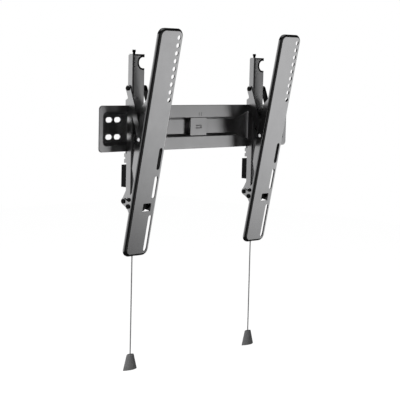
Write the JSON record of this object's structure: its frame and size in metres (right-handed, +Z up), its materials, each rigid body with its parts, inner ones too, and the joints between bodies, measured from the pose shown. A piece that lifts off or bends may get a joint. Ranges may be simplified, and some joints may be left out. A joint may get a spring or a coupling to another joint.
{
  "type": "tilting television wall bracket",
  "caption": "Tilting television wall bracket: dished wall plate carrying sliding arms on folding links, with hooks, levelling screws, spring latches and pull cords.",
  "frame": {"origin": "on the wall, at the centre of the wall plate's back", "axes": "+X along the wall plate, to the right as seen from the room; +Y into the wall; +Z up"},
  "size_m": [0.548, 0.1051, 0.6661],
  "materials": {
    "black_powder_coat": "semi-gloss black powder coat",
    "black_pin": "black oxide",
    "spring_steel": "drawn wire",
    "bumper_rubber": "matt",
    "cord_grey": "braided",
    "pull_plastic": "fine grain"
  },
  "bodies": {
    "wall_plate": {"wall_plate": "black_powder_coat"},
    "left_channel": {"left_channel": "black_powder_coat", "left_bumper": "bumper_rubber", "left_level_nut": "black_pin", "left_pin_a_l": "black_pin", "left_pin_a_r": "black_pin", "left_spacer_a": "black_pin", "left_pin_c_l": "black_pin", "left_pin_c_r": "black_pin", "left_spacer_c": "black_pin", "left_latch_spring": "spring_steel"},
    "left_level_screw": {"left_level_screw": "black_pin"},
    "left_upper_links": {"left_upper_link_l": "black_powder_coat", "left_upper_link_r": "black_powder_coat"},
    "left_front_arm": {"left_front_arm": "black_powder_coat", "left_pin_b": "black_pin", "left_spacer_b": "black_pin", "left_pin_d_l": "black_pin", "left_pin_d_r": "black_pin", "left_washer_d": "black_pin", "left_ear_rivet": "black_pin"},
    "left_lower_links": {"left_lower_link_l": "black_powder_coat", "left_lower_link_r": "black_powder_coat"},
    "left_latch": {"left_latch": "black_powder_coat", "left_pull_cord": "cord_grey", "left_cord_pull": "pull_plastic"},
    "right_channel": {"right_channel": "black_powder_coat", "right_bumper": "bumper_rubber", "right_level_nut": "black_pin", "right_pin_a_l": "black_pin", "right_pin_a_r": "black_pin", "right_spacer_a": "black_pin", "right_pin_c_l": "black_pin", "right_pin_c_r": "black_pin", "right_spacer_c": "black_pin", "right_latch_spring": "spring_steel"},
    "right_level_screw": {"right_level_screw": "black_pin"},
    "right_upper_links": {"right_upper_link_l": "black_powder_coat", "right_upper_link_r": "black_powder_coat"},
    "right_front_arm": {"right_front_arm": "black_powder_coat", "right_pin_b": "black_pin", "right_spacer_b": "black_pin", "right_pin_d_l": "black_pin", "right_pin_d_r": "black_pin", "right_washer_d": "black_pin", "right_ear_rivet": "black_pin"},
    "right_lower_links": {"right_lower_link_l": "black_powder_coat", "right_lower_link_r": "black_powder_coat"},
    "right_latch": {"right_latch": "black_powder_coat", "right_pull_cord": "cord_grey", "right_cord_pull": "pull_plastic"}
  },
  "joints": [
    {"name": "left_arm_slide", "type": "slide", "parent": "wall_plate", "child": "left_channel", "axis": [1, 0, 0], "range_m": [-0.028, 0.072]},
    {"name": "left_level_turn", "type": "hinge", "parent": "left_channel", "child": "left_level_screw", "pos_m": [-0.1869, -0.014, 0.044], "axis": [0, 0, 1], "continuous": true},
    {"name": "left_tilt", "type": "hinge", "parent": "left_channel", "child": "left_upper_links", "pos_m": [-0.207, -0.018, 0.0768], "axis": [-1, 0, 0], "range_deg": [-11, 5]},
    {"name": "left_arm_hinge", "type": "hinge", "parent": "left_upper_links", "child": "left_front_arm", "pos_m": [-0.207, -0.05386, -0.01912], "axis": [-1, 0, 0], "range_deg": [-8, 17]},
    {"name": "left_lower_hinge", "type": "hinge", "parent": "left_channel", "child": "left_lower_links", "pos_m": [-0.207, -0.0105, -0.1402], "axis": [-1, 0, 0], "range_deg": [-34, 16]},
    {"name": "left_latch_slide", "type": "slide", "parent": "left_channel", "child": "left_latch", "axis": [0, 0, 1], "range_m": [-0.014, 0], "stiffness_N_per_m": 250, "springref_m": 0.012, "deforming": ["left_latch_spring"]},
    {"name": "right_arm_slide", "type": "slide", "parent": "wall_plate", "child": "right_channel", "axis": [1, 0, 0], "range_m": [-0.072, 0.028]},
    {"name": "right_level_turn", "type": "hinge", "parent": "right_channel", "child": "right_level_screw", "pos_m": [0.1631, -0.014, 0.044], "axis": [0, 0, 1], "continuous": true},
    {"name": "right_tilt", "type": "hinge", "parent": "right_channel", "child": "right_upper_links", "pos_m": [0.143, -0.018, 0.0768], "axis": [-1, 0, 0], "range_deg": [-11, 5]},
    {"name": "right_arm_hinge", "type": "hinge", "parent": "right_upper_links", "child": "right_front_arm", "pos_m": [0.143, -0.05386, -0.01912], "axis": [-1, 0, 0], "range_deg": [-8, 17]},
    {"name": "right_lower_hinge", "type": "hinge", "parent": "right_channel", "child": "right_lower_links", "pos_m": [0.143, -0.0105, -0.1402], "axis": [-1, 0, 0], "range_deg": [-34, 16]},
    {"name": "right_latch_slide", "type": "slide", "parent": "right_channel", "child": "right_latch", "axis": [0, 0, 1], "range_m": [-0.014, 0], "stiffness_N_per_m": 250, "springref_m": 0.012, "deforming": ["right_latch_spring"]}
  ],
  "couplings": [
    {"joint": "left_arm_hinge", "follows": "left_tilt", "ratio": -1.5054},
    {"joint": "left_lower_hinge", "follows": "left_tilt", "ratio": 2.9925},
    {"joint": "right_arm_hinge", "follows": "right_tilt", "ratio": -1.5054},
    {"joint": "right_lower_hinge", "follows": "right_tilt", "ratio": 2.9925}
  ]
}
